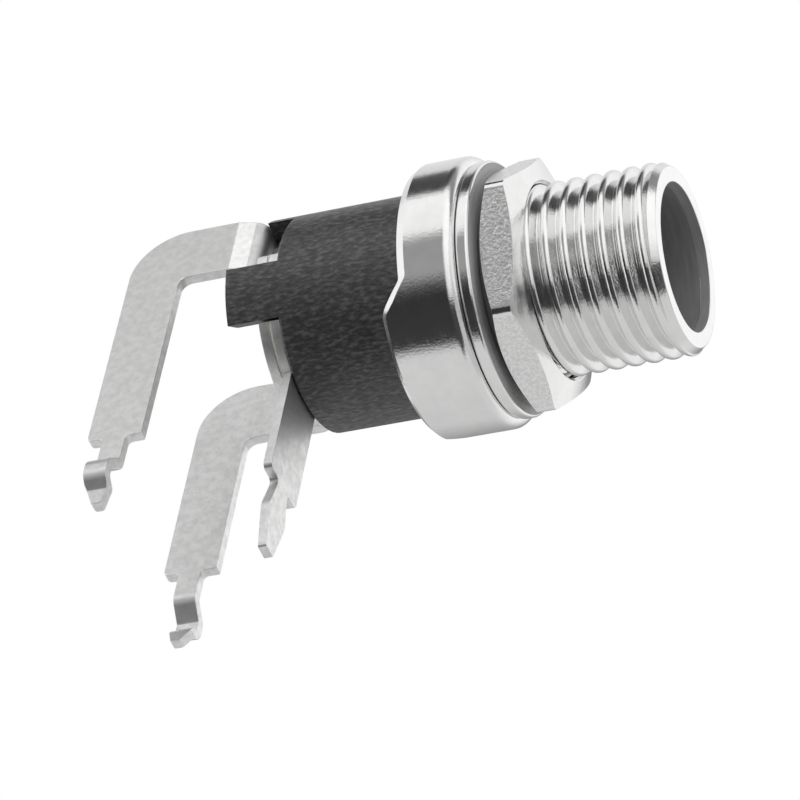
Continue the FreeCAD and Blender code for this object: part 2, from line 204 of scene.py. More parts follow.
class JackFinish(bpy.types.PropertyGroup):
    """Colours of the finishes and the softness of the edges."""

    plate: bpy.props.FloatVectorProperty(
        name="Bright plate", description="Colour of the bright plated metal",
        subtype="COLOR", default=(0.88, 0.88, 0.875))
    tin: bpy.props.FloatVectorProperty(
        name="Tin plate", description="Colour of the satin sheet metal",
        subtype="COLOR", default=(0.86, 0.86, 0.855))
    plastic: bpy.props.FloatVectorProperty(
        name="Plastic", description="Colour of the moulded body",
        subtype="COLOR", default=(0.060, 0.061, 0.063))
    bronze: bpy.props.FloatVectorProperty(
        name="Spring bronze", description="Colour of the leaf spring",
        subtype="COLOR", default=(0.72, 0.60, 0.42))
    film: bpy.props.FloatVectorProperty(
        name="Insulating film", description="Colour of the film and the bush",
        subtype="COLOR", default=(0.85, 0.82, 0.74))
    sheet_edge: bpy.props.FloatProperty(
        name="Sheet edge", description="Softening of the stamped edges, in millimetres",
        default=0.05)
    moulded_edge: bpy.props.FloatProperty(
        name="Moulded edge", description="Softening of the body's edges, in millimetres",
        default=0.06)


class JackStage(bpy.types.PropertyGroup):
    """Camera and floor."""

    focal_length: bpy.props.FloatProperty(
        name="Focal length", description="Focal length of the camera, in millimetres",
        default=202.5)
    floor_level: bpy.props.FloatProperty(
        name="Floor level", description="Height of the floor under the mouth's centre",
        subtype="DISTANCE", unit="LENGTH", default=-0.3)
    floor_size: bpy.props.FloatProperty(
        name="Floor size", description="Side of the square floor",
        subtype="DISTANCE", unit="LENGTH", default=6.0)


def settings():
    """The sizes and colours that the panel shows."""
    return bpy.context.scene


def start_clean():
    """Leaves edit mode with nothing selected."""
    if bpy.context.mode != "OBJECT":
        bpy.ops.object.mode_set(mode="OBJECT")
    bpy.ops.object.select_all(action="DESELECT")


def work_on(piece):
    """Makes a piece the only selected and active one."""
    start_clean()
    piece.select_set(True)
    bpy.context.view_layer.objects.active = piece


def edit(piece, mode="EDGE"):
    """Enters edit mode on a piece with everything selected."""
    work_on(piece)
    bpy.ops.object.mode_set(mode="EDIT")
    bpy.ops.mesh.select_mode(type=mode)
    bpy.ops.mesh.select_all(action="SELECT")


def done_editing():
    """Leaves edit mode."""
    bpy.ops.object.mode_set(mode="OBJECT")


def pick(piece, kind, test):
    """Selects only the vertices, edges or faces that pass a test, and leaves edit mode on."""
    edit(piece, kind)
    bpy.ops.mesh.select_all(action="DESELECT")
    done_editing()
    mesh = piece.data
    items = {"VERT": mesh.vertices, "EDGE": mesh.edges, "FACE": mesh.polygons}[kind]
    for item in items:
        item.select = bool(test(mesh, item))
    bpy.ops.object.mode_set(mode="EDIT")


def apply_modifier(piece, kind, **values):
    """Adds a modifier, sets it and applies it."""
    work_on(piece)
    modifier = piece.modifiers.new(kind.lower(), kind)
    for name, value in values.items():
        setattr(modifier, name, value)
    bpy.ops.object.modifier_apply(modifier=modifier.name)


def soften_edges(piece, width, segments=2, angle=35.0):
    """Rounds every edge sharper than an angle."""
    apply_modifier(piece, "BEVEL", width=width, segments=segments, limit_method="ANGLE",
                   angle_limit=math.radians(angle), use_clamp_overlap=True, miter_outer="MITER_ARC")


def smooth(piece, angle=30.0):
    """Smooth shading up to an angle, led by the large faces so that the flats stay flat."""
    work_on(piece)
    bpy.ops.object.shade_smooth_by_angle(angle=math.radians(angle))
    apply_modifier(piece, "WEIGHTED_NORMAL", keep_sharp=True)


def arc_points(centre, radius, start, end, count):
    """Points of x and radius on an arc, from one angle to another, in degrees."""
    points = []
    for i in range(count):
        angle = math.radians(start + (end - start) * i / (count - 1))
        points.append((centre[0] + radius * math.cos(angle),
                       centre[1] + radius * math.sin(angle)))
    return points


def rounded(corners, count=6):
    """A row of points through corners (x, radius, round), with the rounds drawn as arcs."""
    points = []
    for i, (x, r, size) in enumerate(corners):
        if size == 0 or i in (0, len(corners) - 1):
            points.append((x, r))
            continue
        corner = Vector((x, r))
        before = (Vector(corners[i - 1][:2]) - corner).normalized()
        after = (Vector(corners[i + 1][:2]) - corner).normalized()
        half = before.angle(after) / 2
        centre = corner + (before + after).normalized() * (size / math.sin(half))
        first = corner + before * (size / math.tan(half)) - centre
        last = corner + after * (size / math.tan(half)) - centre
        turn = first.angle_signed(last)
        for k in range(count + 1):
            spoke = first.copy()
            spoke.rotate(Matrix.Rotation(-turn * k / count, 2))
            points.append(tuple(centre + spoke))
    return points


def lathe(name, rings, sides=192):
    """A turned shape: a circle about the socket axis, extruded and scaled from ring to ring."""
    start_clean()
    x, radius = rings[0]
    bpy.ops.mesh.primitive_circle_add(vertices=sides, radius=radius, location=(x, 0, 0),
                                      rotation=(0, math.pi / 2, 0))
    piece = bpy.context.object
    piece.name = name
    piece.data.name = name
    bpy.ops.object.transform_apply(location=True, rotation=True, scale=True)
    edit(piece)
    for next_x, next_radius in rings[1:]:
        bpy.ops.mesh.extrude_edges_move(TRANSFORM_OT_translate={"value": (next_x - x, 0, 0)})
        scale = next_radius / radius
        bpy.ops.transform.resize(value=(1, scale, scale), center_override=(next_x, 0, 0))
        x, radius = next_x, next_radius
    bpy.ops.mesh.select_all(action="SELECT")
    bpy.ops.mesh.remove_doubles(threshold=MERGE)
    bpy.ops.mesh.normals_make_consistent(inside=False)
    done_editing()
    return piece


def copy_of(node):
    """A copy of a CAD node in millimetres, its doubles merged and its flat faces joined."""
    source = frame["nodes"][node]
    work_on(source)
    bpy.ops.object.duplicate()
    piece = bpy.context.object
    bpy.ops.object.parent_clear(type="CLEAR_KEEP_TRANSFORM")
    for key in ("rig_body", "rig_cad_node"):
        del piece[key]
    piece.name = node + "_finished"
    piece.data.name = node + "_finished"
    bpy.ops.transform.resize(value=(1 / MM,) * 3, center_override=(0, 0, 0))
    bpy.ops.object.transform_apply(location=True, rotation=True, scale=True)
    bpy.ops.mesh.customdata_custom_splitnormals_clear()
    edit(piece)
    bpy.ops.mesh.remove_doubles(threshold=MERGE)
    bpy.ops.mesh.dissolve_limited(angle_limit=math.radians(0.2))
    done_editing()
    return piece


def finish_piece(piece, body, nodes, material, second=None, test=None):
    """Brings a piece to metres, on its body, for its nodes and with its finish.

    Faces that pass the test get the second finish.
    """
    work_on(piece)
    bpy.ops.transform.resize(value=(MM,) * 3, center_override=(0, 0, 0))
    bpy.ops.object.transform_apply(location=True, rotation=True, scale=True)
    piece.data.materials.clear()
    piece.data.materials.append(material)
    if second is not None:
        piece.data.materials.append(second)
        pick(piece, "FACE", test)
        piece.active_material_index = 1
        bpy.ops.object.material_slot_assign()
        done_editing()
    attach(piece, body)
    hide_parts(*nodes)
    return piece


class Nodes:
    """A node tree under construction, with short ways to add and join its nodes."""

    def __init__(self, tree):
        self.tree = tree

    def add(self, kind, **values):
        """A new node with its settings."""
        node = self.tree.nodes.new(kind)
        for name, value in values.items():
            setattr(node, name, value)
        return node

    def link(self, source, target):
        """Joins an output to an input."""
        self.tree.links.new(source, target)

    def math(self, operation, *values):
        """A math node on sockets or plain numbers."""
        node = self.add("ShaderNodeMath", operation=operation)
        for socket, value in zip(node.inputs, values):
            if isinstance(value, (int, float)):
                socket.default_value = value
            else:
                self.link(value, socket)
        return node.outputs[0]

    def spread(self, value, low, high, start=0.3, end=0.7):
        """Maps a value to a range."""
        node = self.add("ShaderNodeMapRange")
        node.inputs["From Min"].default_value = start
        node.inputs["From Max"].default_value = end
        node.inputs["To Min"].default_value = low
        node.inputs["To Max"].default_value = high
        self.link(value, node.inputs["Value"])
        return node.outputs["Result"]

    def blend(self, share, first, second):
        """A mix of two colours."""
        node = self.add("ShaderNodeMix", data_type="RGBA")
        sockets = [socket for socket in node.inputs if socket.enabled]
        for value, socket in zip((share, first, second), sockets):
            self.link(value, socket)
        return [socket for socket in node.outputs if socket.enabled][0]

    def shades(self, value, *stops):
        """A colour ramp: each stop is a place from 0 to 1 and a colour."""
        node = self.add("ShaderNodeValToRGB")
        elements = node.color_ramp.elements
        elements.remove(elements[1])
        elements[0].position = stops[0][0]
        for place, colour in stops[1:]:
            elements.new(place)
        for element, (place, colour) in zip(elements, stops):
            element.color = (*colour, 1.0)
        self.link(value, node.inputs["Fac"])
        return node.outputs["Color"]


class Finish(Nodes):
    """A material under construction."""

    def __init__(self, name):
        self.material = bpy.data.materials.new(name)
        self.material.use_nodes = True
        super().__init__(self.material.node_tree)
        self.shader = self.tree.nodes["Principled BSDF"]
        self.place = self.add("ShaderNodeTexCoord").outputs["Object"]

    def place_parts(self):
        """Place on a piece, as its X, Y and Z."""
        parts = self.add("ShaderNodeSeparateXYZ")
        self.link(self.place, parts.inputs[0])
        return parts.outputs

    def out_from_axis(self):
        """Distance from the socket axis."""
        parts = self.place_parts()
        square_y = self.math("MULTIPLY", parts["Y"], parts["Y"])
        square_z = self.math("MULTIPLY", parts["Z"], parts["Z"])
        return self.math("SQRT", self.math("ADD", square_y, square_z))

    def turned_place(self, along, around):
        """Place on a turned piece: along the axis, out from it and around it, for turning marks."""
        parts = self.place_parts()
        angle = self.math("ABSOLUTE", self.math("ARCTAN2", parts["Z"], parts["Y"]))
        joined = self.add("ShaderNodeCombineXYZ")
        self.link(self.math("MULTIPLY", parts["X"], along), joined.inputs["X"])
        self.link(self.math("MULTIPLY", self.out_from_axis(), along), joined.inputs["Y"])
        self.link(self.math("MULTIPLY", angle, around), joined.inputs["Z"])
        return joined.outputs[0]

    def stretched_place(self, scale, turn=(0.0, 0.0, 0.0)):
        """Place on a piece, scaled and turned, for streaks."""
        node = self.add("ShaderNodeMapping")
        node.inputs["Scale"].default_value = scale
        node.inputs["Rotation"].default_value = turn
        self.link(self.place, node.inputs["Vector"])
        return node.outputs[0]

    def noise(self, place, scale, detail=3.0, roughness=0.55):
        """Noise over a place, from 0 to 1."""
        node = self.add("ShaderNodeTexNoise")
        node.inputs["Scale"].default_value = scale
        node.inputs["Detail"].default_value = detail
        node.inputs["Roughness"].default_value = roughness
        self.link(place, node.inputs["Vector"])
        return node.outputs["Fac"]

    def relief(self, value, height, under=None):
        """Bump from a value; height is in metres."""
        node = self.add("ShaderNodeBump")
        node.inputs["Distance"].default_value = height
        self.link(value, node.inputs["Height"])
        if under is not None:
            self.link(under, node.inputs["Normal"])
        return node.outputs["Normal"]


def scaled(colour, factor):
    """A colour made darker or lighter."""
    return tuple(part * factor for part in colour)


def bright_plate(name, wear=0.0):
    """Bright nickel plate: turning marks over a fine mottled relief."""
    finish = Finish(name)
    colour = tuple(settings().jack_finish.plate)
    shader = finish.shader
    shader.inputs["Metallic"].default_value = 1.0
    clouds = finish.noise(finish.place, scale=1400.0, detail=4.0)
    tint = finish.shades(clouds, (0.3, scaled(colour, 0.93 - wear)), (0.7, colour))
    marks = finish.noise(finish.turned_place(along=9000.0, around=9.0), scale=1.0)
    cloudy_gloss = finish.spread(clouds, 0.07, 0.13)
    turned_gloss = finish.spread(marks, 0.0, 0.07 + wear)
    finish.link(tint, shader.inputs["Base Color"])
    finish.link(finish.math("ADD", cloudy_gloss, turned_gloss), shader.inputs["Roughness"])
    turned = finish.relief(marks, height=0.0000012)
    grain = finish.noise(finish.place, scale=9500.0, detail=2.0, roughness=0.6)
    finish.link(finish.relief(grain, height=0.0000045, under=turned), shader.inputs["Normal"])
    return finish.material


def painted_shade_bore(name):
    """Bore painted dull dark grey as painted shade inside the hole, with streaks round it."""
    finish = Finish(name)
    shader = finish.shader
    shader.inputs["Metallic"].default_value = 0.3
    streaks = finish.noise(finish.turned_place(along=5000.0, around=1.5), scale=1.0)
    # Painted shade: the bore's dark grey tint stands in for the shade inside the hole.
    tint = finish.shades(streaks, (0.3, (0.30,) * 3), (0.7, (0.38,) * 3))
    finish.link(tint, shader.inputs["Base Color"])
    finish.link(finish.spread(streaks, 0.75, 0.6), shader.inputs["Roughness"])
    finish.link(finish.relief(streaks, height=0.000003), shader.inputs["Normal"])
    return finish.material


def mottled_plate(name):
    """Bright plate over a fine hammered relief that shows where light and dark meet."""
    finish = Finish(name)
    colour = tuple(settings().jack_finish.plate)
    shader = finish.shader
    shader.inputs["Metallic"].default_value = 1.0
    grain = finish.noise(finish.place, scale=7000.0, roughness=0.6)
    tint = finish.shades(grain, (0.4, scaled(colour, 0.86)), (0.6, colour))
    finish.link(tint, shader.inputs["Base Color"])
    finish.link(finish.spread(grain, 0.24, 0.16), shader.inputs["Roughness"])
    finish.link(finish.relief(grain, height=0.00004), shader.inputs["Normal"])
    return finish.material


def satin_plate_painted_shade(name):
    """Satin plate with turning marks round the axis, its tint painted darker than the bright plate
    as painted shade.
    """
    finish = Finish(name)
    colour = tuple(settings().jack_finish.plate)
    shader = finish.shader
    shader.inputs["Metallic"].default_value = 0.3
    marks = finish.noise(finish.turned_place(along=7000.0, around=2.0), scale=1.0)
    # Painted shade: the tint is darker than the bright plate, for the shade on the washer's faces
    # between drum and nut.
    tint = finish.shades(marks, (0.3, scaled(colour, 0.55)), (0.7, scaled(colour, 0.70)))
    finish.link(tint, shader.inputs["Base Color"])
    finish.link(finish.spread(marks, 0.75, 0.62), shader.inputs["Roughness"])
    finish.link(finish.relief(marks, height=0.000002), shader.inputs["Normal"])
    return finish.material


def tin_plate(name, painted_highlight=0.0):
    """Satin tin over stamped sheet, faintly mottled; with a painted highlight it is painted
    lighter, made glossier and left flat.
    """
    finish = Finish(name)
    colour = tuple(settings().jack_finish.tin)
    shader = finish.shader
    shader.inputs["Metallic"].default_value = 1.0
    grain = finish.noise(finish.place, scale=3400.0, detail=5.0, roughness=0.65)
    # Painted highlight: where it is asked for, the tint is painted lighter and the tin made
    # glossier.
    dark, light = scaled(colour, 0.92 + painted_highlight / 2), scaled(colour, 1.04 + painted_highlight / 4)
    tint = finish.shades(grain, (0.38, dark), (0.62, light))
    finish.link(tint, shader.inputs["Base Color"])
    finish.link(finish.spread(grain, 0.50 - painted_highlight, 0.38 - painted_highlight), shader.inputs["Roughness"])
    if not painted_highlight:
        finish.link(finish.relief(grain, height=0.000006), shader.inputs["Normal"])
    return finish.material


def black_plastic(name):
    """Black moulded plastic, scuffed with short slanting streaks."""
    finish = Finish(name)
    colour = tuple(settings().jack_finish.plastic)
    shader = finish.shader
    shader.inputs["IOR"].default_value = 1.65
    slant = finish.stretched_place((3200.0, 7500.0, 7500.0), (0.5, 0.9, 0.7))
    streaks = finish.noise(slant, scale=1.0, detail=2.0, roughness=0.5)
    tint = finish.shades(streaks, (0.36, scaled(colour, 0.5)), (0.52, scaled(colour, 1.05)),
                         (0.70, scaled(colour, 2.3)))
    finish.link(tint, shader.inputs["Base Color"])
    finish.link(finish.spread(streaks, 0.46, 0.36), shader.inputs["Roughness"])
    finish.link(finish.relief(streaks, height=0.00003), shader.inputs["Normal"])
    return finish.material


def spring_bronze(name):
    """Rolled spring bronze with lines along the leaf."""
    finish = Finish(name)
    colour = tuple(settings().jack_finish.bronze)
    shader = finish.shader
    shader.inputs["Metallic"].default_value = 1.0
    lines = finish.noise(finish.stretched_place((300.0, 300.0, 9000.0)), scale=1.0)
    tint = finish.shades(lines, (0.3, scaled(colour, 0.85)), (0.7, colour))
    finish.link(tint, shader.inputs["Base Color"])
    finish.link(finish.spread(lines, 0.34, 0.24), shader.inputs["Roughness"])
    finish.link(finish.relief(lines, height=0.000002), shader.inputs["Normal"])
    return finish.material


def insulating_film(name):
    """Pale insulating film and bush, a little waxy."""
    finish = Finish(name)
    colour = tuple(settings().jack_finish.film)
    shader = finish.shader
    clouds = finish.noise(finish.place, scale=1500.0)
    tint = finish.shades(clouds, (0.3, scaled(colour, 0.9)), (0.7, colour))
    finish.link(tint, shader.inputs["Base Color"])
    finish.link(finish.spread(clouds, 0.55, 0.4), shader.inputs["Roughness"])
    return finish.material


def drawn_line(name, points):
    """A line of edges, drawn by extruding one corner of a plane from point to point."""
    start_clean()
    first = Vector(points[0])
    bpy.ops.mesh.primitive_plane_add(size=2.0, location=first + Vector((1, 1, 0)))
    piece = bpy.context.object
    piece.name = name
    piece.data.name = name
    bpy.ops.object.transform_apply(location=True, rotation=True, scale=True)
    pick(piece, "VERT", lambda mesh, vertex: (vertex.co - first).length > 0.1)
    bpy.ops.mesh.delete(type="VERT")
    bpy.ops.mesh.select_all(action="SELECT")
    for before, after in zip(points, points[1:]):
        step = Vector(after) - Vector(before)
        bpy.ops.mesh.extrude_vertices_move(TRANSFORM_OT_translate={"value": step})
    done_editing()
    return piece


def helix(name, section, pitch, turns, steps):
    """A thread surface: one pitch of its section, drawn as a line and screwed along the axis."""
    piece = drawn_line(name, [(x, r, 0) for x, r in section])
    apply_modifier(piece, "SCREW", axis="X", angle=2 * math.pi, screw_offset=pitch,
                   iterations=turns, steps=steps, render_steps=steps, use_merge_vertices=True,
                   merge_threshold=MERGE, use_normal_calculate=True)
    edit(piece, "VERT")
    bpy.ops.mesh.remove_doubles(threshold=MERGE)
    done_editing()
    return piece


def cut_at(piece, x, keep_rear):
    """Cuts a piece at a plane across the axis and keeps the part behind or in front of it."""
    edit(piece)
    bpy.ops.mesh.bisect(plane_co=(x, 0, 0), plane_no=(1, 0, 0), clear_outer=keep_rear,
                        clear_inner=not keep_rear, threshold=0.00001)
    done_editing()


def boundary_edges(piece):
    """Numbers of the edges that have only one face."""
    uses = {}
    for face in piece.data.polygons:
        for key in face.edge_keys:
            uses[key] = uses.get(key, 0) + 1
    return {edge.index for edge in piece.data.edges if uses.get(edge.key, 0) == 1}


def draw_onto_line(piece, corners, side, test):
    """Draws the vertices that pass a test forward onto a line of x and z.

    The line is as wide as the sides are apart.
    """
    wall = drawn_line("rim_line", [(x, -side, z) for x, z in rounded(corners)])
    edit(wall)
    bpy.ops.mesh.extrude_region_move(TRANSFORM_OT_translate={"value": (0, 2 * side, 0)})
    done_editing()
    pick(piece, "VERT", test)
    bpy.ops.object.vertex_group_assign_new()
    done_editing()
    apply_modifier(piece, "SHRINKWRAP", target=wall, wrap_method="PROJECT",
                   use_project_x=True, use_positive_direction=True,
                   vertex_group=piece.vertex_groups.active.name)
    bpy.data.objects.remove(wall)
    bpy.ops.object.vertex_group_remove(all=True)


def shape_rear_rim(piece, drum):
    """Gives the rear rim its step, and a flat bevel that widens along the slope.

    The rim stands behind its place at first. The outer line of the bevel is drawn forward, and
    then what still stands behind.
    """
    side = drum.radius + 2
    level = drum.step_height - drum.step_slope
    slope = drum.step_rear - drum.step_slope
    short_bevel = drum.step_rear + drum.rim_bevel
    long_bevel = drum.rear + drum.long_bevel

    def stands_behind(mesh, vertex):
        return vertex.co.x < drum.rear - drum.spare / 3

    def on_outer_line(mesh, vertex):
        outside = math.hypot(vertex.co.y, vertex.co.z) > drum.radius - 0.01
        return outside and stands_behind(mesh, vertex)

    draw_onto_line(piece, [
        (short_bevel, side, 0),
        (short_bevel, drum.step_height - 0.06, drum.crook_round),
        (slope + drum.slope_bevel, level - 0.02, 0.3),
        (long_bevel, level - 0.35, 0.1),
        (long_bevel, -side, 0),
    ], side, on_outer_line)
    draw_onto_line(piece, [
        (drum.step_rear, side, 0),
        (drum.step_rear, drum.step_height, drum.crook_round),
        (slope, level, drum.slope_round),
        (drum.rear, level - 0.2, 0),
        (drum.rear, -side, 0),
    ], side, stands_behind)


class JACK_OT_bushing(bpy.types.Operator):
    """Threaded bushing: turned collar, bore and drum, the screwed thread and the stepped rim"""

    bl_idname = "power_jack.bushing"
    bl_label = "Threaded bushing"

    def execute(self, context):
        thread = context.scene.jack_thread
        drum = context.scene.jack_drum
        collar_rear = -thread.collar_length
        piece = self.screwed_thread(thread, collar_rear, drum.front)
        shell = self.turned_shell(thread, drum, collar_rear)
        shape_rear_rim(shell, drum)
        work_on(piece)
        shell.select_set(True)
        bpy.ops.object.join()
        for place in (collar_rear, drum.front):
            self.bridge_at(piece, place)
        if boundary_edges(piece):
            raise RuntimeError("the bushing's shell is not closed")
        edit(piece)
        bpy.ops.mesh.normals_make_consistent(inside=False)
        done_editing()
        smooth(piece, 22.0)

        def in_bore_painted_shade(mesh, face):
            """All of the bore, painted dark as painted shade, except a strip of the inner edge
            beside the spring, left bright plate so that a highlight shows there.
            """
            x, y, z = face.center / MM
            out = math.hypot(y, z)
            inside = out < thread.bore_radius + 0.9 * thread.mouth_widening
            # The strip of the inner edge beside the spring keeps the bright plate, for a highlight
            # there.
            on_inner_edge = abs(x + thread.mouth_length) < 0.03
            beside_spring = y > 0.86 * out
            return inside and not (on_inner_edge and beside_spring)

        # The bore and its mouth get the painted shade finish; the rest keeps the bright plate.
        finish_piece(piece, "jack", ["threaded_bushing"],
                     bright_plate("bright_bushing_plate"), painted_shade_bore("painted_shade_bore_plate"), in_bore_painted_shade)
        return {"FINISHED"}

    def screwed_thread(self, thread, front, rear):
        """The thread between two places: rounded crests and roots on flanks of 60 degrees."""
        pitch = thread.pitch
        height = pitch * math.sqrt(3) / 2
        low = thread.crest_radius - height + thread.crest_round + 2 * thread.root_round
        high = thread.crest_radius - thread.crest_round
        section = arc_points((0.0, low), thread.root_round, -90, -30, 5)
        section += arc_points((pitch / 2, high), thread.crest_round, 150, 30, 9)
        section += arc_points((pitch, low), thread.root_round, 210, 270, 5)
        turns = math.ceil(-rear / pitch) + 2
        start = thread.crest_start - pitch / 2 - (turns - 2) * pitch
        section = [(x + start, r) for x, r in section]
        piece = helix("threaded_bushing_finished", section, pitch, turns, steps=200)
        cut_at(piece, front, True)
        cut_at(piece, rear, False)
        return piece

    def turned_shell(self, thread, drum, collar_rear):
        """Collar, mouth, bore, seat and drum, open where the thread joins them."""
        crest = thread.crest_radius
        bore = thread.bore_radius
        behind = drum.rear - drum.spare
        return lathe("drum_shell", rounded([
            (collar_rear + 0.04, crest - 0.08, 0),
            (0.0, crest - thread.front_slope, 0.06),
            (0.0, bore + thread.mouth_widening, 0.03),
            (-thread.mouth_length, bore, 0.1),
            (drum.seat_front, bore, 0),
            (drum.seat_front, drum.seat_radius, 0),
            (behind, drum.seat_radius, 0),
            (behind, drum.radius - drum.bevel_drop, 0),
            (behind, drum.radius, 0),
            (drum.front, drum.radius, drum.front_round),
            (drum.front, crest + 0.02, 0),
        ]), sides=288)

    def bridge_at(self, piece, place):
        """Closes the gap between the two open rims at a place along the axis."""
        open_edges = boundary_edges(piece)

        def beside_place(mesh, edge):
            near = abs(mesh.vertices[edge.vertices[0]].co.x - place) < 0.05
            return near and edge.index in open_edges

        pick(piece, "EDGE", beside_place)
        bpy.ops.mesh.bridge_edge_loops()
        done_editing()


class JACK_OT_washer(bpy.types.Operator):
    """Flat washer, turned with rounded edges"""

    bl_idname = "power_jack.washer"
    bl_label = "Flat washer"

    def execute(self, context):
        nut = context.scene.jack_nut
        low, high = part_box("flat_washer")
        rear, front, radius = low.x / MM, high.x / MM, high.y / MM
        middle = ((rear + front) / 2, nut.washer_bore_radius, 0)
        piece = lathe("flat_washer_finished", rounded([
            middle,
            (front, nut.washer_bore_radius, nut.washer_bore_round),
            (front, radius, nut.washer_rim_round),
            (rear, radius, nut.washer_rim_round),
            (rear, nut.washer_bore_radius, nut.washer_bore_round),
            middle,
        ]))
        smooth(piece, 40.0)

        # The flat faces get the satin finish with its painted shade; the rim keeps the bright
        # plate.
        def on_flat_face(mesh, face):
            return abs(face.normal.x) > 0.95

        finish_piece(piece, "washer", ["flat_washer"],
                     bright_plate("bright_washer_plate"), satin_plate_painted_shade("satin_washer_faces_painted_shade"),
                     on_flat_face)
        return {"FINISHED"}


class JACK_OT_nut(bpy.types.Operator):
    """Hex nut: a six sided prism shared with a turned double cone that holds its hole"""

    bl_idname = "power_jack.nut"
    bl_label = "Hex nut"

    def execute(self, context):
        nut = context.scene.jack_nut
        low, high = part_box("hex_nut")
        rear, front = low.x / MM, high.x / MM
        piece = self.prism(nut, rear, front)
        soften_edges(piece, nut.edge_round, 5)
        cone = self.double_cone(nut, rear, front)
        apply_modifier(piece, "BOOLEAN", operation="INTERSECT", solver="EXACT", object=cone)
        bpy.data.objects.remove(cone)
        smooth(piece, 25.0)

        def on_flat(mesh, face):
            return abs(face.normal.x) < 0.1 and face.area > 2 * MM * MM

        finish_piece(piece, "nut", ["hex_nut"], bright_plate("bright_nut_plate"),
                     mottled_plate("mottled_nut_flats"), on_flat)
        return {"FINISHED"}

    def prism(self, nut, rear, front):
        """A six sided prism with its first corner at the nut's angle."""
        start_clean()
        bpy.ops.mesh.primitive_cylinder_add(
            vertices=6, radius=nut.corner_radius, depth=front - rear,
            location=((front + rear) / 2, 0, 0), rotation=(0, math.pi / 2, 0))
        piece = bpy.context.object
        piece.name = "hex_nut_finished"
        piece.data.name = piece.name
        bpy.ops.object.transform_apply(location=True, rotation=True, scale=True)
        first = piece.data.vertices[0].co
        turn = nut.corner_angle - math.atan2(first.z, first.y)
        edit(piece, "VERT")
        bpy.ops.transform.rotate(value=-turn, orient_axis="X", orient_type="GLOBAL",
                                 center_override=(0, 0, 0))
        done_editing()
        return piece

    def double_cone(self, nut, rear, front):
        """The turned form that cuts the prism's ends and its hole, wider than the corners."""
        bore = nut.bore_radius
        edge = bore + nut.hole_chamfer
        past, beside = 0.3, 0.05
        middle = ((rear + front) / 2, bore, 0)
        return lathe("nut_cone", rounded([
            middle,
            (front - nut.hole_chamfer, bore, 0.02),
            (front, edge, 0.03),
            (front, edge + nut.land, 0),
            (front - nut.front_drop, nut.corner_radius, 0),
            (front - nut.front_drop - beside, nut.corner_radius + past, 0),
            (rear + nut.rear_drop + beside, nut.corner_radius + past, 0),
            (rear + nut.rear_drop, nut.corner_radius, 0),
            (rear, edge + nut.land, 0),
            (rear, edge, 0.02),
            (rear + nut.hole_chamfer, bore, 0.02),
            middle,
        ]))


class JACK_OT_terminals(bpy.types.Operator):
    """The three sheet terminals, with the soft edges of stamped sheet"""

    bl_idname = "power_jack.terminals"
    bl_label = "Sheet terminals"

    def execute(self, context):
        def on_slant(mesh, face):
            """The slanted part of an arm or of the tongue, which gets a painted highlight: lighter,
            glossier tin.
            """
            return 0.2 < abs(face.normal.x) < 0.3 and abs(face.normal.y) > 0.9

        for node in ("near_terminal", "far_terminal", "middle_terminal"):
            piece = copy_of(node)
            soften_edges(piece, context.scene.jack_finish.sheet_edge)
            smooth(piece)
            plain = tin_plate(node + "_tin")
            # Painted highlight on the slanted faces: a lighter, glossier copy of the tin.
            highlighted_tin = tin_plate(node + "_painted_highlight_tin", painted_highlight=0.25)
            finish_piece(piece, "jack", [node], plain, highlighted_tin, on_slant)
        return {"FINISHED"}


class JACK_OT_body(bpy.types.Operator):
    """The moulded body with its keys"""

    bl_idname = "power_jack.body"
    bl_label = "Moulded body"

    def execute(self, context):
        piece = copy_of("insulator_body")
        soften_edges(piece, context.scene.jack_finish.moulded_edge)
        smooth(piece)
        finish_piece(piece, "jack", ["insulator_body"],
                     black_plastic("streaked_black_plastic"))
        return {"FINISHED"}


class JACK_OT_inner(bpy.types.Operator):
    """The pieces inside and behind: centre pin, sleeve spring, foil and bush"""

    bl_idname = "power_jack.inner"
    bl_label = "Inner pieces"

    def execute(self, context):
        rows = (
            ("centre_pin", "jack", "nickel_plate", bright_plate("bright_pin_plate", wear=0.03)),
            ("sleeve_spring", "spring", "spring_bronze", spring_bronze("rolled_spring_bronze")),
            ("insulating_bush", "jack", "insulating_sheet", insulating_film("pale_bush")),
            ("insulating_foil", "jack", "insulating_sheet", insulating_film("pale_foil")),
        )
        for node, body, slot, material in rows:
            piece = copy_of(node)
            smooth(piece)
            finish_piece(piece, body, [node], material)
        return {"FINISHED"}


# The camera's axes in the jack's frame, how far it stands off the mouth's centre, and how far it
# is shifted right and up from it, in millimetres.
CAMERA_RIGHT = Vector((0.926311, 0.351810, 0.134825))
CAMERA_UP = Vector((0.164138, -0.698938, 0.696092))
CAMERA_BACK = Vector((0.339126, -0.622668, -0.705180))
CAMERA_DISTANCE = 180.0
CAMERA_SHIFT = (-11.438934, -5.725418)

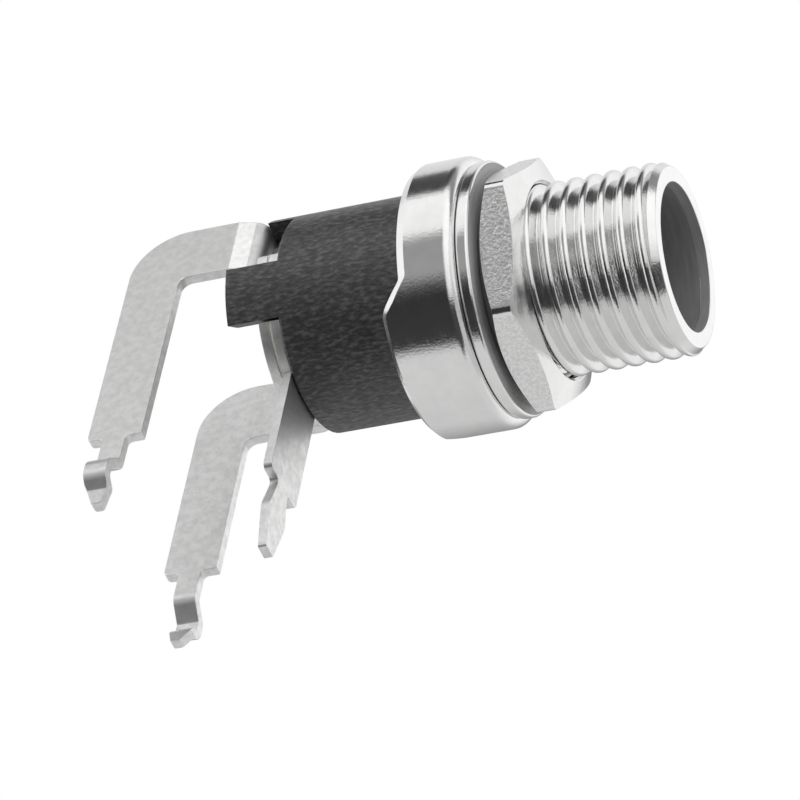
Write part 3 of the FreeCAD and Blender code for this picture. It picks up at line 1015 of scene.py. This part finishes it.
# The soft studio: degrees round the socket axis from the camera's side, and brightness. One row of
# strip lights stands beside the jack, one behind its rear end, one before its mouth and one far
# ahead. Each row gives way to the next between two shares of the way forward along the axis.
SIDE_LIGHTS = (
    (-180, 0.86), (-150, 0.80), (-134, 0.73), (-129, 0.09), (-104, 0.05), (-98, 1.05), (-62, 0.98),
    (-54, 0.32), (-24, 0.36), (-14, 0.09), (-6, 0.035), (34, 0.045), (42, 0.70), (70, 0.70),
    (125, 0.64), (150, 0.42), (180, 0.24),
)
REAR_LIGHTS = (
    (-180, 0.9), (-60, 1.1), (15, 1.0), (40, 0.72), (120, 0.70), (180, 0.85),
)
FRONT_LIGHTS = (
    (-180, 1.1), (-140, 0.95), (-127, 0.28), (-107, 0.28), (-97, 1.15), (-40, 1.1), (-4, 0.8),
    (4, 0.06), (44, 0.06), (52, 0.70), (120, 0.70), (180, 1.1),
)
AHEAD_LIGHTS = (
    (-180, 0.9), (-60, 0.9), (0, 0.5), (140, 0.6), (152, 0.05), (175, 0.05), (180, 0.7),
)
REAR_TO_SIDE = (-0.69, -0.655)
SIDE_TO_FRONT = (-0.05, 0.30)
FRONT_TO_AHEAD = (0.80, 0.84)


class JACK_OT_stage(bpy.types.Operator):
    """Camera, pale floor and the soft studio around the jack"""

    bl_idname = "power_jack.stage"
    bl_label = "Stage"

    def execute(self, context):
        stage = context.scene.jack_stage
        self.set_camera(context.scene, stage.focal_length)
        self.lay_floor(stage)
        self.light_studio(context.scene)
        context.scene.view_settings.view_transform = "Standard"
        return {"FINISHED"}

    def set_camera(self, scene, focal_length):
        """The camera that sees the jack as the photo does."""
        right, up = CAMERA_SHIFT
        place = (CAMERA_RIGHT * right + CAMERA_UP * up + CAMERA_BACK * CAMERA_DISTANCE) * MM
        data = bpy.data.cameras.new("photo_camera")
        data.lens = focal_length
        data.sensor_width = 36.0
        data.sensor_fit = "HORIZONTAL"
        data.clip_start = 0.01
        camera = bpy.data.objects.new("photo_camera", data)
        scene.collection.objects.link(camera)
        turn = Matrix((CAMERA_RIGHT, CAMERA_UP, CAMERA_BACK)).transposed().to_4x4()
        camera.matrix_world = Matrix.Translation(place) @ turn
        scene.camera = camera

    def lay_floor(self, stage):
        """A pale floor that neither mirrors in the jack nor lights it."""
        start_clean()
        bpy.ops.mesh.primitive_plane_add(size=stage.floor_size, location=(0, 0, stage.floor_level))
        floor = bpy.context.object
        floor.name = "pale_floor"
        floor.visible_glossy = False
        floor.visible_diffuse = False
        finish = Finish("pale_floor_paint")
        grain = finish.noise(finish.place, scale=40.0, detail=2.0)
        tint = finish.shades(grain, (0.3, (0.86, 0.86, 0.86)), (0.7, (0.88, 0.88, 0.88)))
        finish.link(tint, finish.shader.inputs["Base Color"])
        finish.shader.inputs["Roughness"].default_value = 0.8
        floor.data.materials.append(finish.material)
        floor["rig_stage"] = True

    def light_studio(self, scene):
        """Surroundings as strip lights along the socket axis, and white behind the object."""
        world = bpy.data.worlds.new("strip_studio")
        scene.world = world
        world.use_nodes = True
        world.node_tree.nodes.clear()
        studio = Nodes(world.node_tree)
        parts = studio.add("ShaderNodeSeparateXYZ")
        studio.link(studio.add("ShaderNodeTexCoord").outputs["Generated"], parts.inputs[0])
        angle = studio.math("ARCTAN2", parts.outputs["Z"], parts.outputs["Y"])
        from_camera = studio.math("SUBTRACT", angle, math.atan2(CAMERA_BACK.z, CAMERA_BACK.y))
        turned = studio.math("WRAP", from_camera, math.pi, -math.pi)
        share = studio.spread(turned, 0.0, 1.0, -math.pi, math.pi)

        def lights(row):
            stops = [((degrees + 180) / 360, (value,) * 3) for degrees, value in row]
            return studio.shades(share, *stops)

        colour = lights(REAR_LIGHTS)
        for zone, row in ((REAR_TO_SIDE, SIDE_LIGHTS), (SIDE_TO_FRONT, FRONT_LIGHTS),
                          (FRONT_TO_AHEAD, AHEAD_LIGHTS)):
            passed = studio.spread(parts.outputs["X"], 0.0, 1.0, *zone)
            colour = studio.blend(passed, colour, lights(row))
        around = studio.add("ShaderNodeBackground")
        studio.link(colour, around.inputs["Color"])
        white = studio.add("ShaderNodeBackground")
        white.inputs["Color"].default_value = (1.0, 1.0, 1.0, 1.0)
        mix = studio.add("ShaderNodeMixShader")
        studio.link(studio.add("ShaderNodeLightPath").outputs["Is Camera Ray"], mix.inputs["Fac"])
        studio.link(around.outputs[0], mix.inputs[1])
        studio.link(white.outputs[0], mix.inputs[2])
        studio.link(mix.outputs[0], studio.add("ShaderNodeOutputWorld").inputs["Surface"])


class JACK_PT_panel(bpy.types.Panel):
    """Sizes, finishes and the steps that build the jack"""

    bl_idname = "JACK_PT_panel"
    bl_label = "DC power jack"
    bl_space_type = "VIEW_3D"
    bl_region_type = "UI"
    bl_category = "Power jack"

    def draw(self, context):
        layout = self.layout
        for name in GROUPS:
            group = getattr(context.scene, name)
            box = layout.box()
            for key in group.__annotations__:
                box.prop(group, key)
        for operator in STEPS:
            layout.operator(operator.bl_idname)


GROUPS = {
    "jack_thread": JackThread,
    "jack_drum": JackDrum,
    "jack_nut": JackNut,
    "jack_finish": JackFinish,
    "jack_stage": JackStage,
}
STEPS = (JACK_OT_stage, JACK_OT_bushing, JACK_OT_washer, JACK_OT_nut, JACK_OT_terminals,
         JACK_OT_body, JACK_OT_inner)


def register():
    """Registers the groups, the operators and the panel."""
    for group in GROUPS.values():
        bpy.utils.register_class(group)
    for operator in STEPS:
        bpy.utils.register_class(operator)
    bpy.utils.register_class(JACK_PT_panel)
    for name, group in GROUPS.items():
        setattr(bpy.types.Scene, name, bpy.props.PointerProperty(type=group))


def unregister():
    """Takes back what register() did."""
    for name in GROUPS:
        delattr(bpy.types.Scene, name)
    bpy.utils.unregister_class(JACK_PT_panel)
    for operator in STEPS:
        bpy.utils.unregister_class(operator)
    for group in GROUPS.values():
        bpy.utils.unregister_class(group)


def main():
    """Builds everything in order."""
    register()
    bpy.ops.power_jack.stage()
    bpy.ops.power_jack.bushing()
    bpy.ops.power_jack.washer()
    bpy.ops.power_jack.nut()
    bpy.ops.power_jack.terminals()
    bpy.ops.power_jack.body()
    bpy.ops.power_jack.inner()
    boxes = {"cad_box": CAD_BOX, "visual_box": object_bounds()}
    boxes = {name: [list(map(float, corner)) for corner in box] for name, box in boxes.items()}


if __name__ == "__main__":
    main()
